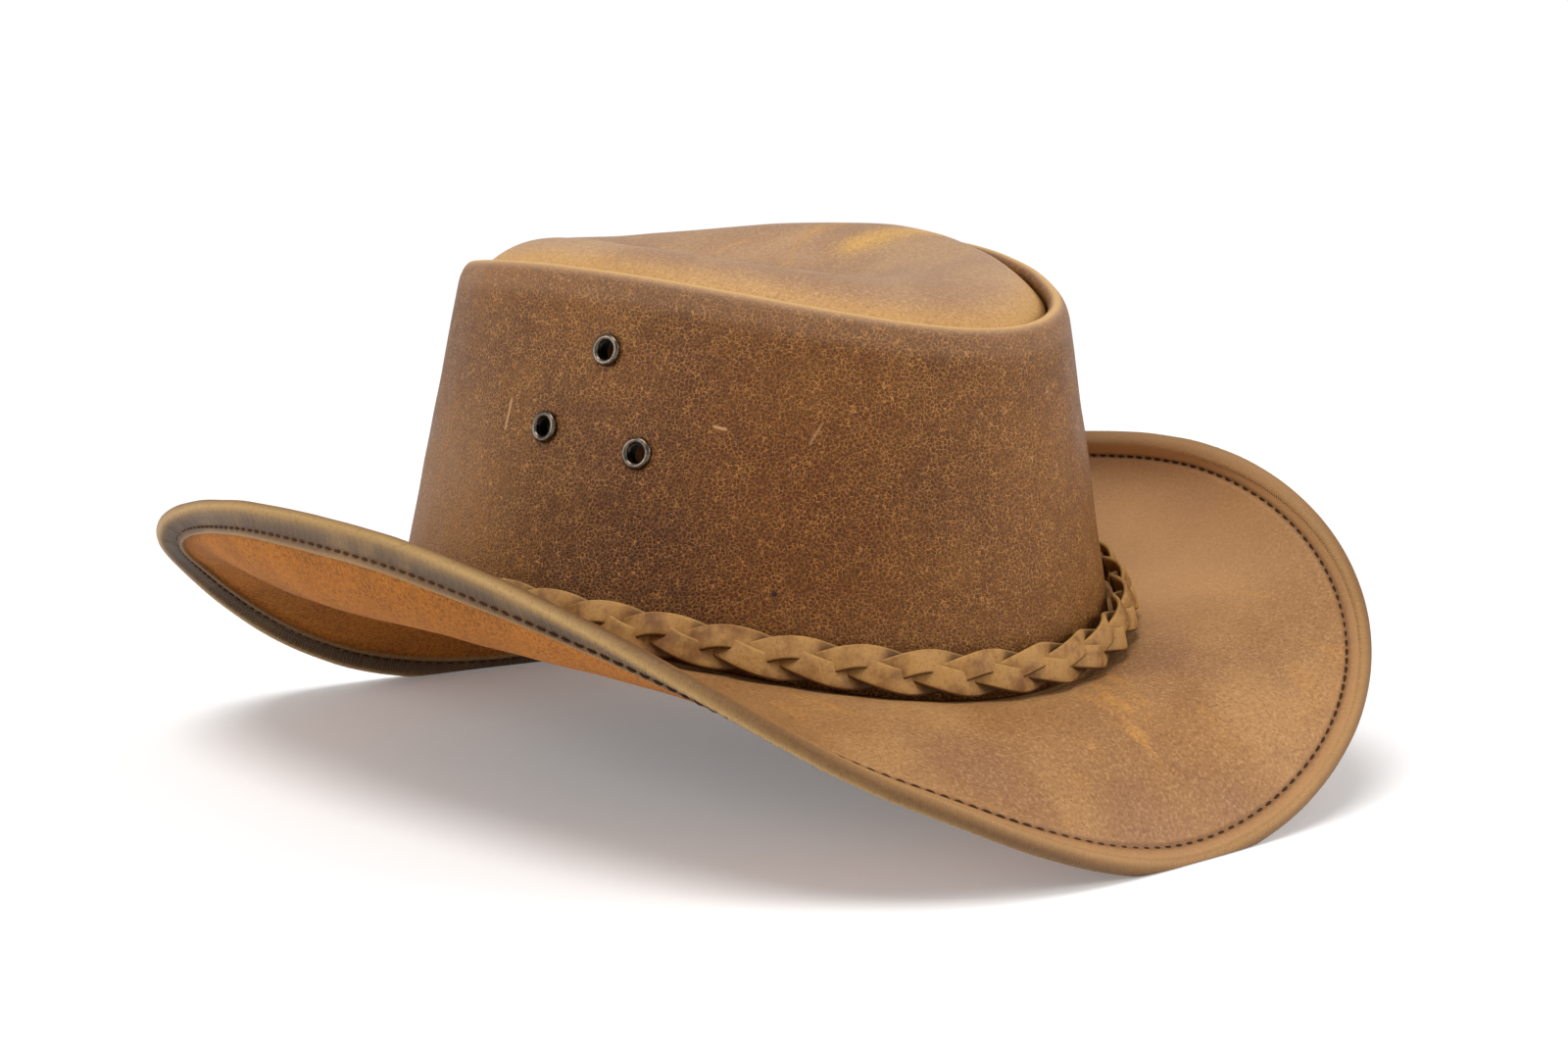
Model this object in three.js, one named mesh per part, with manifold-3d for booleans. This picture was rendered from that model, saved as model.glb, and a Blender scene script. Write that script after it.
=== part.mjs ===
// A leather bush hat: a tapered crown with a tip let into its rolled rim, a wide wired brim curled up
// at the sides and dipped at the front and back, a three-strand braided band and three metal eyelets
// on each side. Millimetres, +Z up, +Y towards the front, +X towards the wearer's right, standing on
// the brim's two dips.
import * as THREE from "three";
import { mergeVertices } from "three/addons/utils/BufferGeometryUtils.js";
import Module from "manifold-3d";

// The seam, where the crown is sewn to the brim: an oval whose ends lie lower than its sides.
const seamLength = 194;
const seamWidth = 166;
const seamSwing = 7.8;

// The crown's rim: a shorter oval, set forward and narrower at the front.
const rimLength = 170;
const rimWidth = 126;
const rimTaper = 0.1;
const rimForward = 7.5;
const rimHeight = 84.6;
const rimSwing = 5;
const rimSlope = 3;

// Leather thicknesses, and the gap left between pieces that touch.
const crownWall = 2.2;
const tipWall = 1.8;
const brimWall = 2.2;
const hemWall = 1.5;
const clearance = 0.3;

// The rolled rim of the crown, its turned-in edge, and the tip that is sewn inside it: domed near its
// edge, dented in the middle, with its edge sunk a little deeper at the front.
const rollRadius = 2.4;
const turnedEdge = 8;
const tipSkirt = 6;
const tipInset = 1.6;
const tipDome = 17;
const tipDent = 19;
const tipSink = 2;

// The brim: its collar inside the crown, its widest part, the hem turned under and the wired edge.
const collarHeight = 7;
const brimWidth = 73.5;
const hemWidth = 10;
const beadRadius = 2.4;
const footPress = 2.6;

// The braided band: three laces with skived edges.
const laceWidth = 5.1;
const laceThickness = 1.7;
const braidReach = 3.9;
const braidLift = 1.9;
const laceTilt = 45;
const braidTurns = 13;
const braidLean = 14;

// Eyelets: a round flange outside the crown, a barrel through it and a smaller flange inside. On each
// side a pair lies below and one above, and the pair's front one is a little lower. Their places are
// measured down the wall from the rim.
const eyeletOuter = 8;
const eyeletHole = 4.8;
const eyeletWall = 0.5;
const eyeletInner = 7;
const eyeletFlange = 0.9;
const eyeletSpread = 29;
const eyeletRise = 21;
const eyeletSlant = 2;
const eyeletDrop = 31.7;
const eyeletForward = 20;

// Facets, and the shares of a width or height at which a piece has a row of corners.
const turnSteps = 78;
const tipSteps = 46;
const laceSteps = 12;
const eyeletSides = 10;
const bendSteps = 12;
const wallRows = [0, 0.3, 0.6, 0.85];
const wallInsideRow = 0.4;
const tipRows = [0.3, 0.55, 0.75, 0.9];
const brimRows = [0.2, 0.4, 0.6, 0.8];

// The brim's sections, one every 30 degrees counterclockwise from the wearer's right: the slope of the
// leather at the crown, halfway out and at the edge, in degrees, and the width as a share of brimWidth.
const brimSections = [
  { at: "right", crown: -3, middle: 34, edge: 116, width: 0.65 },
  { at: "right front", crown: 5, middle: 16, edge: 74, width: 0.72 },
  { at: "front right", crown: 11, middle: -10, edge: -17, width: 0.85 },
  { at: "front", crown: 14, middle: -31, edge: -70, width: 0.9 },
  { at: "front left", crown: 10, middle: -3, edge: -20, width: 0.87 },
  { at: "left front", crown: 2, middle: 37, edge: 106, width: 0.77 },
  { at: "left", crown: -3, middle: 36, edge: 126, width: 0.66 },
  { at: "left back", crown: 2, middle: 11, edge: 90, width: 0.75 },
  { at: "back left", crown: 8, middle: -34, edge: -22, width: 0.95 },
  { at: "back", crown: 12, middle: -30, edge: -60, width: 1 },
  { at: "back right", crown: 8, middle: 11, edge: 4, width: 0.97 },
  { at: "right back", crown: 2, middle: 29, edge: 92, width: 0.78 },
];

const { sin, cos, PI } = Math;
const turn = 2 * PI;
const radians = THREE.MathUtils.degToRad;
const up = new THREE.Vector3(0, 0, 1);

const wasm = await Module();
wasm.setup();

// A column of the brim's sections at an angle, on a smooth closed curve through the rows.
function section(column, angle) {
  const count = brimSections.length;
  const place = (((angle / turn) * count) % count + count) % count;
  const row = Math.floor(place);
  const u = place - row;
  const value = (step) => brimSections[(row + step + count) % count][column];
  const [before, from, to, after] = [-1, 0, 1, 2].map(value);
  const bend = 2 * before - 5 * from + 4 * to - after;
  const twist = 3 * (from - to) + after - before;
  return from + 0.5 * u * (to - before + u * (bend + u * twist));
}

// The seam and the crown's rim, on the crown's outer face.
function seamPoint(angle) {
  const z = seamSwing * cos(2 * angle);
  return new THREE.Vector3((seamWidth / 2) * cos(angle), (seamLength / 2) * sin(angle), z);
}
function rimPoint(angle) {
  const x = (rimWidth / 2) * cos(angle) * (1 - rimTaper * sin(angle));
  const y = (rimLength / 2) * sin(angle) + rimForward;
  const z = rimHeight + rimSwing * cos(2 * angle) - rimSlope * sin(angle);
  return new THREE.Vector3(x, y, z);
}

// The level direction out of the seam's oval.
function outward(angle) {
  return new THREE.Vector3(cos(angle) / seamWidth, sin(angle) / seamLength, 0).normalize();
}

// A point of the crown: a distance up its wall from the seam, or down from the rim, and a depth in
// from its outer face.
function crownPoint(angle, rise, depth) {
  const wall = rimPoint(angle).sub(seamPoint(angle));
  return seamPoint(angle).addScaledVector(wall, rise / wall.length()).addScaledVector(outward(angle), -depth);
}
function belowRim(angle, drop, depth) {
  const wall = seamPoint(angle).sub(rimPoint(angle));
  return rimPoint(angle).addScaledVector(wall, drop / wall.length()).addScaledVector(outward(angle), -depth);
}

// The brim's slope at a share of its width: the curve through the three slopes of its section.
function brimSlope(angle, share) {
  const crown = section("crown", angle) * (1 - share) * (1 - 2 * share);
  const middle = section("middle", angle) * 4 * share * (1 - share);
  const edge = section("edge", angle) * share * (2 * share - 1);
  return radians(crown + middle + edge);
}

// A point of the brim: a share of the way from the seam to the edge along the middle of its leather,
// and a distance above it, square to the leather. Its top lies under the crown's cut edge.
function brimPoint(angle, share, above) {
  const width = brimWidth * section("width", angle);
  const point = seamPoint(angle).addScaledVector(up, -clearance - brimWall / 2);
  const out = outward(angle);
  const length = (share * width) / bendSteps;
  for (let step = 0; step < bendSteps; step++) {
    const slope = brimSlope(angle, (share * (step + 0.5)) / bendSteps);
    point.addScaledVector(out, length * cos(slope)).addScaledVector(up, length * sin(slope));
  }
  const slope = brimSlope(angle, share);
  return point.addScaledVector(out, -above * sin(slope)).addScaledVector(up, above * cos(slope));
}

// A closed body from rings of points: each ring is a closed section, and the last ring meets the first.
// Each four-sided face is split along its shorter diagonal, so a section that twists keeps its fullness.
function loopOfSections(sections) {
  const points = sections.flat();
  const size = sections[0].length;
  const faces = [];
  for (let ring = 0; ring < sections.length; ring++) {
    const next = (ring + 1) % sections.length;
    for (let corner = 0; corner < size; corner++) {
      const other = (corner + 1) % size;
      const [a, b] = [ring * size + corner, ring * size + other];
      const [c, d] = [next * size + corner, next * size + other];
      const shorter = points[a].distanceTo(points[d]) < points[b].distanceTo(points[c]);
      faces.push(...(shorter ? [a, c, d, a, d, b] : [a, c, b, b, c, d]));
    }
  }
  return indexed(points, faces);
}

// A closed body from rings that start round one middle point and end round another.
function capOfRings(top, rings, bottom) {
  const size = rings[0].length;
  const points = [top, ...rings.flat(), bottom];
  const faces = [];
  for (let corner = 0; corner < size; corner++) {
    const other = (corner + 1) % size;
    faces.push(0, 1 + corner, 1 + other);
    for (let ring = 0; ring + 1 < rings.length; ring++) {
      const [a, b] = [1 + ring * size + corner, 1 + ring * size + other];
      faces.push(a, a + size, b, b, a + size, b + size);
    }
    const last = 1 + (rings.length - 1) * size;
    faces.push(last + corner, points.length - 1, last + other);
  }
  return indexed(points, faces);
}

function indexed(points, faces) {
  const geometry = new THREE.BufferGeometry().setFromPoints(points);
  geometry.setIndex(faces);
  geometry.computeVertexNormals();
  return geometry;
}

function around(steps, sectionAt) {
  return Array.from({ length: steps }, (_, step) => sectionAt((turn * step) / steps));
}

// The crown's side: one band of leather, its top edge rolled inward and turned down inside.
function crownSection(angle) {
  const height = rimPoint(angle).distanceTo(seamPoint(angle));
  const outer = wallRows.map((share) => crownPoint(angle, share * height, 0));
  const roll = [0, 45, 90, 135, 180].map((degrees) => {
    const drop = rollRadius * (1 - sin(radians(degrees)));
    const depth = rollRadius * (1 - cos(radians(degrees)));
    return belowRim(angle, drop, depth);
  });
  const inner = [
    belowRim(angle, turnedEdge, 2 * rollRadius),
    belowRim(angle, turnedEdge, crownWall),
    crownPoint(angle, wallInsideRow * height, crownWall),
    crownPoint(angle, 0, crownWall),
  ];
  return [...outer, ...roll, ...inner];
}

// The tip's outline, just inside the rolled rim, drawn towards its middle by a share.
function tipPoint(angle, share, above) {
  const edge = belowRim(angle, tipInset, 2 * rollRadius + clearance);
  const middle = new THREE.Vector3(0, rimForward, rimHeight);
  const rim = rimHeight + rimSwing * cos(2 * angle) * share ** 2 - rimSlope * sin(angle) * share;
  const sunk = tipInset + (tipSink * share ** 4 * (1 + sin(angle))) / 2;
  const dome = tipDome * (1 - share ** 4) - tipDent * (1 - share ** 2) ** 2;
  return middle.lerp(edge, share).setZ(rim - sunk + dome + above);
}

function crownTip() {
  const ring = (share, above) => around(tipSteps, (angle) => tipPoint(angle, share, above));
  const inside = (above) => around(tipSteps, (angle) => {
    return tipPoint(angle, 1, above).addScaledVector(outward(angle), -tipWall);
  });
  const rings = [
    ...tipRows.map((share) => ring(share, 0)),
    ring(1, 0),
    ring(1, -tipSkirt),
    inside(-tipSkirt),
    inside(-tipWall),
    ...tipRows.toReversed().map((share) => ring(share, -tipWall)),
  ];
  return capOfRings(tipPoint(0, 0, 0), rings, tipPoint(0, 0, -tipWall));
}

// The brim: a collar turned up inside the crown, the free leather, and the wired edge with its hem
// turned under.
function brimSection(angle) {
  const width = brimWidth * section("width", angle);
  const at = (distance) => distance / width;
  const half = brimWall / 2;
  const under = half + hemWall;
  const collar = crownWall + clearance;
  const beadDrop = (hemWall - clearance) / 2;
  const bead = [-90, -45, 0, 40, 80, 120].map((degrees) => {
    const reach = at(width - beadRadius + beadRadius * cos(radians(degrees)));
    return brimPoint(angle, reach, beadRadius * sin(radians(degrees)) - beadDrop);
  });
  const free = width - hemWidth;
  return [
    crownPoint(angle, collarHeight, collar + brimWall),
    crownPoint(angle, 0, collar + brimWall).addScaledVector(up, -clearance - brimWall),
    brimPoint(angle, 0, -half),
    ...brimRows.map((share) => brimPoint(angle, at(free * share), -half)),
    brimPoint(angle, at(free), -half),
    brimPoint(angle, at(free), -under),
    ...bead,
    brimPoint(angle, at(free), half),
    ...brimRows.toReversed().map((share) => brimPoint(angle, at(free * share), half)),
    brimPoint(angle, 0, half),
    crownPoint(angle, 0, collar).addScaledVector(up, -clearance),
    crownPoint(angle, collarHeight, collar),
  ];
}

// The braid's middle line, its direction up the crown and its direction out of it. Where a lace lies
// furthest out it is turned by about half its tilt.
const braidHalf = braidReach + laceWidth / 2;
const braidDepth = braidLift + laceThickness / 2 + (laceWidth / 2) * sin(radians(laceTilt / 2));
function braidFrame(angle) {
  const wallUp = crownPoint(angle, 1, 0).sub(crownPoint(angle, 0, 0)).normalize();
  const out = outward(angle);
  const lean = radians(braidLean);
  const across = wallUp.clone().multiplyScalar(cos(lean)).addScaledVector(out, -sin(lean)).normalize();
  const face = new THREE.Vector3().crossVectors(braidTravel(angle), across).normalize();
  const seat = brimPoint(angle, (2 * braidDepth) / (brimWidth * section("width", angle)), brimWall / 2);
  const rise = Math.max(0, seat.z - seamPoint(angle).z) + clearance;
  const middle = crownPoint(angle, braidHalf * cos(lean) + rise, 0);
  middle.addScaledVector(out, braidDepth + clearance + braidHalf * sin(lean));
  return { middle, across, face };
}
function braidTravel(angle) {
  return new THREE.Vector3(-seamWidth * sin(angle), seamLength * cos(angle), 0).normalize();
}

// Angles at equal steps along the braid's length.
function evenAngles(count) {
  const fine = 720;
  const line = around(fine, (angle) => braidFrame(angle).middle);
  const lengths = [0];
  for (let step = 0; step < fine; step++) {
    lengths.push(lengths[step] + line[step].distanceTo(line[(step + 1) % fine]));
  }
  let step = 0;
  return Array.from({ length: count }, (_, index) => {
    const wanted = (lengths[fine] * index) / count;
    while (lengths[step + 1] <= wanted) step++;
    return (turn * (step + (wanted - lengths[step]) / (lengths[step + 1] - lengths[step]))) / fine;
  });
}

// One lace: it swings up and down across the band once a turn of the braid and over and under twice,
// and tilts so that its edges clear its neighbours. Its section is full in the middle and thinned at
// both edges.
function lace(phase) {
  const count = braidTurns * laceSteps;
  const angles = evenAngles(count);
  const path = angles.map((angle, index) => {
    const { middle, across, face } = braidFrame(angle);
    const wave = (turn * index) / laceSteps + phase;
    middle.addScaledVector(across, braidReach * sin(wave));
    middle.addScaledVector(face, braidLift * sin(2 * wave));
    return { centre: middle, across, wave };
  });
  const sections = path.map(({ centre, across, wave }, index) => {
    const [last, next] = [path[(index + count - 1) % count].centre, path[(index + 1) % count].centre];
    const travel = next.clone().sub(last).normalize();
    const broad = across.clone().addScaledVector(travel, -across.dot(travel)).normalize();
    broad.applyAxisAngle(travel, radians(laceTilt) * cos(3 * wave));
    const thick = new THREE.Vector3().crossVectors(travel, broad);
    return [
      centre.clone().addScaledVector(broad, laceWidth / 2),
      centre.clone().addScaledVector(thick, -laceThickness / 2),
      centre.clone().addScaledVector(broad, -laceWidth / 2),
      centre.clone().addScaledVector(thick, laceThickness / 2),
    ];
  });
  return loopOfSections(sections);
}

// Where the eyelets go on one side: a pair below and one above them.
function eyeletPlaces(side) {
  const spots = [
    { name: "top", forward: 0, rise: (2 / 3) * eyeletRise },
    { name: "front", forward: eyeletSpread / 2, rise: -eyeletRise / 3 - eyeletSlant / 2 },
    { name: "back", forward: -eyeletSpread / 2, rise: -eyeletRise / 3 + eyeletSlant / 2 },
  ];
  return spots.map(({ name, forward, rise }) => {
    const tilt = Math.asin((eyeletForward + forward) / (seamLength / 2));
    const angle = side > 0 ? tilt : PI - tilt;
    const nearby = radians(1);
    const [before, after] = [angle - nearby, angle + nearby].map((at) => belowRim(at, eyeletDrop, 0));
    const along = after.sub(before);
    const upward = crownPoint(angle, 1, 0).sub(crownPoint(angle, 0, 0));
    const normal = new THREE.Vector3().crossVectors(along, upward).normalize();
    return { name, point: belowRim(angle, eyeletDrop - rise, 0), normal };
  });
}

// An eyelet lies along +Z with its outer flange's seat at the origin.
function eyeletGeometry() {
  const hole = eyeletHole / 2;
  const barrel = hole + eyeletWall;
  const back = -crownWall - 2 * clearance;
  const profile = [
    [hole, back - eyeletFlange],
    [eyeletInner / 2, back - eyeletFlange],
    [eyeletInner / 2, back],
    [barrel, back],
    [barrel, 0],
    [eyeletOuter / 2, 0],
    [eyeletOuter / 2 - eyeletFlange / 2, eyeletFlange],
    [hole, eyeletFlange],
    [hole, back - eyeletFlange],
  ];
  const points = profile.map(([radius, height]) => new THREE.Vector2(radius, height));
  return new THREE.LatheGeometry(points, eyeletSides).rotateX(PI / 2);
}

function facing(normal) {
  return new THREE.Quaternion().setFromUnitVectors(up, normal);
}

// A geometry as a solid that can be cut, and back.
function solid(geometry) {
  const bare = geometry.clone();
  bare.deleteAttribute("normal");
  bare.deleteAttribute("uv");
  const merged = mergeVertices(bare, 1e-4);
  const vertProperties = new Float32Array(merged.attributes.position.array);
  const triVerts = new Uint32Array(merged.index.array);
  return new wasm.Manifold(new wasm.Mesh({ numProp: 3, vertProperties, triVerts }));
}
function geometryOf(body) {
  const { vertProperties, triVerts } = body.getMesh();
  const geometry = new THREE.BufferGeometry();
  geometry.setAttribute("position", new THREE.BufferAttribute(new Float32Array(vertProperties), 3));
  geometry.setIndex(new THREE.BufferAttribute(new Uint32Array(triVerts), 1));
  geometry.computeVertexNormals();
  return geometry;
}

// The crown's side with a round hole for each eyelet's barrel.
function crownSide(places) {
  const radius = eyeletHole / 2 + eyeletWall + clearance;
  const length = 4 * (crownWall + clearance);
  const drill = new THREE.CylinderGeometry(radius, radius, length, eyeletSides).rotateX(PI / 2);
  let side = solid(loopOfSections(around(turnSteps, crownSection)));
  for (const { point, normal } of places) {
    const hole = drill.clone().applyQuaternion(facing(normal)).translate(point.x, point.y, point.z);
    side = side.subtract(solid(hole));
  }
  return geometryOf(side);
}

// The level that one dip of the brim is pressed to: a little above its lowest corner.
function footing(side) {
  const corners = around(turnSteps, brimSection).flat().filter((point) => point.y * side > 0);
  const lowest = corners.reduce((low, point) => (point.z < low.z ? point : low));
  return lowest.clone().addScaledVector(up, footPress);
}

// The hat stands on its front and back dips, both pressed flat in the plane that joins their levels,
// and leans by that plane's slope.
const frontFoot = footing(1);
const backFoot = footing(-1);
const footSlope = (frontFoot.z - backFoot.z) / (frontFoot.y - backFoot.y);
function brim() {
  const floor = (y) => backFoot.z + footSlope * (y - backFoot.y);
  const press = (point) => point.setZ(Math.max(point.z, floor(point.y)));
  return loopOfSections(around(turnSteps, (angle) => brimSection(angle).map(press)));
}

const leather = { color: 0x9a6a3c, roughness: 0.55, metalness: 0 };
const darkLeather = { color: 0x83552d, roughness: 0.5, metalness: 0 };
const laceLeather = { color: 0xa87a48, roughness: 0.6, metalness: 0 };
const brass = { color: 0x5a4a38, roughness: 0.35, metalness: 1 };

function part(name, geometry, look) {
  const mesh = new THREE.Mesh(geometry, new THREE.MeshStandardMaterial(look));
  mesh.name = name;
  return mesh;
}

const hat = new THREE.Group();
const eyelets = { right: eyeletPlaces(1), left: eyeletPlaces(-1) };
hat.add(part("crown_side", crownSide([...eyelets.right, ...eyelets.left]), darkLeather));
hat.add(part("crown_tip", crownTip(), leather));
hat.add(part("brim", brim(), leather));
for (const [index, letter] of ["a", "b", "c"].entries()) {
  hat.add(part(`band_lace_${letter}`, lace((index * turn) / 3), laceLeather));
}
for (const [side, places] of Object.entries(eyelets)) {
  for (const { name, point, normal } of places) {
    const eyelet = part(`eyelet_${side}_${name}`, eyeletGeometry(), brass);
    eyelet.position.copy(point).addScaledVector(normal, clearance);
    eyelet.quaternion.copy(facing(normal));
    hat.add(eyelet);
  }
}

// The origin is under the middle of the hat, on the surface that it stands on.
hat.rotation.x = -Math.atan(footSlope);
const box = new THREE.Box3().setFromObject(hat, true);
const middle = box.getCenter(new THREE.Vector3());
hat.position.set(-middle.x, -middle.y, -box.min.z);

export default hat;
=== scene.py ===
"""A leather bush hat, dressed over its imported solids: crackled brown crown, waxed tan tip and brim,
a plaited three-lace band and six metal eyelets, standing on a plain pale floor. Metres."""

import math

import bpy
import numpy as np
from mathutils import Matrix, Vector, noise


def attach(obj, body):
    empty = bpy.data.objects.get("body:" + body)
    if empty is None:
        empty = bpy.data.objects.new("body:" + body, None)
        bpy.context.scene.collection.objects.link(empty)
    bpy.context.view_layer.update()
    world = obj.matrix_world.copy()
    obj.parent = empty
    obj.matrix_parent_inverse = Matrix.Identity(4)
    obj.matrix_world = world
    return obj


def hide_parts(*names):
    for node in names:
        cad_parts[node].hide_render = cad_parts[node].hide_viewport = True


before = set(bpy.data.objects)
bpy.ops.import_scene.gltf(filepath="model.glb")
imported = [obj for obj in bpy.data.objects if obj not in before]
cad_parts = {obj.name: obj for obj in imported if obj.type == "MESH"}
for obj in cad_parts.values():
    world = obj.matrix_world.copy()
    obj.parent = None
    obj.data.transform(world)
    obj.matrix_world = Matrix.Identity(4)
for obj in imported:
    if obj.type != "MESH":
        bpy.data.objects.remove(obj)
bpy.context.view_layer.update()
bpy.ops.object.select_all(action="DESELECT")

# The crown's side is one band of thick brown leather, waxed and finely crackled. It is cut on the
# slant, so the crown leans in all round, and its top edge is rolled inward over the tip's seam and
# turned down inside. The flesh side shows inside the crown. Six holes are punched for the eyelets.
SEAM_LENGTH = 0.194
SEAM_WIDTH = 0.166
SEAM_SWING = 0.0078
RIM_LENGTH = 0.170
RIM_WIDTH = 0.126
RIM_TAPER = 0.1
RIM_FORWARD = 0.0075
RIM_HEIGHT = 0.0846
RIM_SWING = 0.005
RIM_SLOPE = 0.003
CROWN_WALL = 0.0022
ROLL_RADIUS = 0.0024
SHOULDER = 0.0055
# The shoulder's level gives a painted highlight below the rim, fading down the wall.
SHOULDER_SHEEN = 0.2
SHEEN_FADE = 0.004
TURNED_EDGE = 0.008
CROWN_STEPS = 560
HAT_LEAN = -0.0207362
HAT_STAND = (-0.00036, 0.00618, 0.04006)


def around(steps):
    return np.linspace(0, 2 * np.pi, steps, endpoint=False)


def level(x, y, z):
    return np.stack(np.broadcast_arrays(x, y, z), axis=-1)


def unit(vectors):
    return vectors / np.linalg.norm(vectors, axis=-1, keepdims=True)


def seam_point(angle):
    swing = SEAM_SWING * np.cos(2 * angle)
    return level(SEAM_WIDTH / 2 * np.cos(angle), SEAM_LENGTH / 2 * np.sin(angle), swing)


def rim_point(angle):
    x = RIM_WIDTH / 2 * np.cos(angle) * (1 - RIM_TAPER * np.sin(angle))
    y = RIM_LENGTH / 2 * np.sin(angle) + RIM_FORWARD
    z = RIM_HEIGHT + RIM_SWING * np.cos(2 * angle) - RIM_SLOPE * np.sin(angle)
    return level(x, y, z)


def outward(angle):
    return unit(level(np.cos(angle) / SEAM_WIDTH, np.sin(angle) / SEAM_LENGTH, 0))


def column(value):
    return np.asarray(value)[..., None]


def up_crown(angle, rise, depth):
    wall = rim_point(angle) - seam_point(angle)
    return seam_point(angle) + unit(wall) * column(rise) - outward(angle) * column(depth)


def below_rim(angle, drop, depth):
    wall = seam_point(angle) - rim_point(angle)
    return rim_point(angle) + unit(wall) * column(drop) - outward(angle) * column(depth)


def stand(points):
    """Puts points of the hat's own level frame where the hat stands, with nothing under the floor."""
    c, s = math.cos(HAT_LEAN), math.sin(HAT_LEAN)
    x, y, z = np.moveaxis(np.asarray(points), -1, 0)
    moved = level(x, c * y - s * z, s * y + c * z) + np.array(HAT_STAND)
    moved[..., 2] = np.maximum(moved[..., 2], 0)
    return moved


def rumple(points, size, seed):
    """Smooth random heights between -1 and 1 at points, with lumps of about the given size."""
    flat = np.asarray(points).reshape(-1, 3) / size + seed
    heights = [noise.noise(Vector(p)) for p in flat]
    return np.array(heights).reshape(np.asarray(points).shape[:-1])


def formed_leather(name, rows, layers, closed=True, chart=None):
    """A mesh of rings of points. rows[i][j] is point j of ring i, and the rings close on themselves.
    layers holds one named number for each point, and chart the map's places along and across."""
    rings, size = rows.shape[:2]
    ring, place = np.meshgrid(np.arange(rings), np.arange(size if closed else size - 1), indexing="ij")
    after, beside = (ring + 1) % rings, (place + 1) % size
    corners = (ring * size + place, after * size + place, after * size + beside, ring * size + beside)
    mesh = bpy.data.meshes.new(name)
    mesh.from_pydata(rows.reshape(-1, 3), [], np.stack(corners, axis=-1).reshape(-1, 4).tolist())
    for layer, values in layers.items():
        attribute = mesh.attributes.new(layer, "FLOAT", "POINT")
        attribute.data.foreach_set("value", np.ascontiguousarray(values, dtype=np.float32).reshape(-1))
    if chart:
        along = np.append(chart[0], chart[0][-1] * rings / (rings - 1))
        across = np.append(chart[1], chart[1][0])
        u = along[np.stack([ring, ring + 1, ring + 1, ring], axis=-1).reshape(-1)]
        v = across[np.stack([place, place, place + 1, place + 1], axis=-1).reshape(-1)]
        uv_map = mesh.uv_layers.new(name="UVMap")
        uv_map.data.foreach_set("uv", np.stack([u, v], axis=-1).astype(np.float32).reshape(-1))
    mesh.polygons.foreach_set("use_smooth", [True] * len(mesh.polygons))
    mesh.update()
    piece = bpy.data.objects.new(name, mesh)
    bpy.context.collection.objects.link(piece)
    return piece


angles = around(CROWN_STEPS)
wall_height = np.linalg.norm(rim_point(angles) - seam_point(angles), axis=-1)
crown_rows, crown_wear_and_sheen, crown_flesh = [], [], []


def crown_row(points, wear_and_sheen, flesh):
    crown_rows.append(points)
    crown_wear_and_sheen.append(np.broadcast_to(wear_and_sheen, CROWN_STEPS))
    crown_flesh.append(np.full(CROWN_STEPS, float(flesh)))


# Per point, the wear value is full on the roll's top, where the leather is worn, and low on the shoulder and
# the wall under it, where it only paints a highlight.
for share in np.linspace(0, 1, 40):
    rise = share * (wall_height - SHOULDER)
    wear_and_sheen = SHOULDER_SHEEN * np.exp(-(wall_height - SHOULDER - rise) / SHEEN_FADE)
    crown_row(up_crown(angles, rise, 0), wear_and_sheen, False)
for bend in np.radians(np.linspace(0, 180, 25))[1:]:
    reach = SHOULDER if bend < math.pi / 2 else ROLL_RADIUS
    drop = reach * (1 - math.sin(bend))
    depth = ROLL_RADIUS * (1 - math.cos(bend))
    wear_and_sheen = SHOULDER_SHEEN + (1 - SHOULDER_SHEEN) * max(0.0, math.sin(bend)) ** 8
    crown_row(below_rim(angles, drop, depth), wear_and_sheen, False)
for drop, depth in ((0.0045, 2 * ROLL_RADIUS), (TURNED_EDGE, 2 * ROLL_RADIUS),
                    (TURNED_EDGE + 0.0002, 2 * ROLL_RADIUS - 0.0006),
                    (TURNED_EDGE, CROWN_WALL + 0.0002), (TURNED_EDGE + 0.001, CROWN_WALL)):
    crown_row(below_rim(angles, drop, depth), 0, drop >= TURNED_EDGE)
for share in np.linspace(0.85, 0, 22):
    crown_row(up_crown(angles, share * wall_height, CROWN_WALL), 0, True)
crown_points = np.stack(crown_rows, axis=1)
slack = 0.0005 * rumple(crown_points, 0.035, 3.1) + 0.0002 * rumple(crown_points, 0.011, 7.7)
crown_points = crown_points + outward(angles)[:, None] * column(slack)
crown = formed_leather("crown", stand(crown_points),
                       {"wear_and_sheen": np.stack(crown_wear_and_sheen, axis=1), "flesh": np.stack(crown_flesh, axis=1)})

# Three eyelets on each side, on the points of a triangle. Their holes are punched before they go in.
EYELET_SPREAD = 0.029
EYELET_RISE = 0.021
EYELET_SLANT = 0.002
EYELET_DROP = 0.0317
EYELET_FORWARD = 0.020
PUNCH_RADIUS = 0.0032
PUNCH_LENGTH = 0.012


def eyelet_places():
    """Each eyelet's name, place on the crown's outer face and direction out of it, as it stands."""
    spots = (("top", 0, EYELET_RISE * 2 / 3),
             ("front", EYELET_SPREAD / 2, -EYELET_RISE / 3 - EYELET_SLANT / 2),
             ("back", -EYELET_SPREAD / 2, -EYELET_RISE / 3 + EYELET_SLANT / 2))
    for side in ("right", "left"):
        for name, forward, rise in spots:
            tilt = math.asin((EYELET_FORWARD + forward) / (SEAM_LENGTH / 2))
            angle = np.array(tilt if side == "right" else math.pi - tilt)
            near = math.radians(1)
            along = below_rim(angle + near, EYELET_DROP, 0) - below_rim(angle - near, EYELET_DROP, 0)
            upward = rim_point(angle) - seam_point(angle)
            out = unit(np.cross(along, upward))
            place = below_rim(angle, EYELET_DROP - rise, 0)
            seat = stand(place)
            yield f"eyelet_{side}_{name}", Vector(seat), Vector(unit(stand(place + out * 0.01) - seat))


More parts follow.
